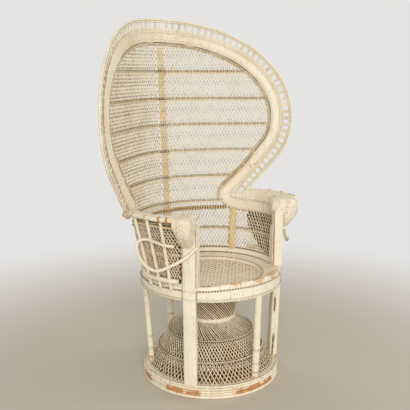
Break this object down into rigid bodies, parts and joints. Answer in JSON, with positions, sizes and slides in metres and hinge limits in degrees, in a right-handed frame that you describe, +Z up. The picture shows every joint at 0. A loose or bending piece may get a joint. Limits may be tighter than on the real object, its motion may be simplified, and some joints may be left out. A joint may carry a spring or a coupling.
{
  "type": "peacock chair",
  "caption": "High-backed woven rattan armchair: round seat in a low woven tub, flared arms, tall fan back with a ladder border, on an hourglass basket base.",
  "frame": {"origin": "on the floor, under the middle of the chair's box", "axes": "+Z up, the sitter faces -Y, +X to the sitter's left"},
  "size_m": [1.0422, 0.6522, 1.4995],
  "materials": {
    "painted_cane": "thick cream paint, worn at the edges",
    "golden_cane": "thin cream wash over golden cane",
    "bare_rattan": "bare rattan, paint worn off"
  },
  "bodies": {
    "root": {"floor_hoop": "bare_rattan", "base_ring": "painted_cane", "skirt_lower_weave": "painted_cane", "skirt_mid_braid": "painted_cane", "skirt_upper_weave": "painted_cane", "shoulder_hoop": "painted_cane", "shoulder_weave": "painted_cane", "waist_hoop": "painted_cane", "flare_weave": "painted_cane", "flare_top_hoop": "painted_cane", "post_front": "painted_cane", "post_rear_left": "painted_cane", "post_rear_right": "painted_cane", "post_rear_centre": "painted_cane", "pillar_left": "painted_cane", "pillar_right": "painted_cane", "seat_lower_hoop": "painted_cane", "seat_apron_front": "painted_cane", "seat_apron_rear": "painted_cane", "seat_rim": "painted_cane", "seat_panel": "painted_cane", "seat_brace_across": "bare_rattan", "seat_brace_along": "bare_rattan", "tub_rail": "painted_cane", "tub_weave": "painted_cane", "tub_post_left": "golden_cane", "tub_post_right": "golden_cane", "border_rim_rod": "painted_cane", "border_ladder": "painted_cane", "border_outer_braid": "painted_cane", "border_band": "painted_cane", "border_inner_braid": "painted_cane", "back_weave_left": "painted_cane", "back_weave_right": "painted_cane", "back_spine": "golden_cane", "back_cross_rail": "golden_cane", "arm_band_left": "painted_cane", "arm_front_band_left": "painted_cane", "arm_hood_left": "painted_cane", "arm_knuckle_left": "painted_cane", "arm_cone_left": "painted_cane", "arm_spindle_front_left": "painted_cane", "arm_spindle_middle_left": "painted_cane", "arm_spindle_rear_left": "painted_cane", "arm_loop_left": "painted_cane", "arm_band_right": "painted_cane", "arm_front_band_right": "painted_cane", "arm_hood_right": "painted_cane", "arm_knuckle_right": "painted_cane", "arm_cone_right": "painted_cane", "arm_spindle_front_right": "painted_cane", "arm_spindle_middle_right": "painted_cane", "arm_spindle_rear_right": "painted_cane", "arm_loop_right": "painted_cane"}
  },
  "joints": []
}
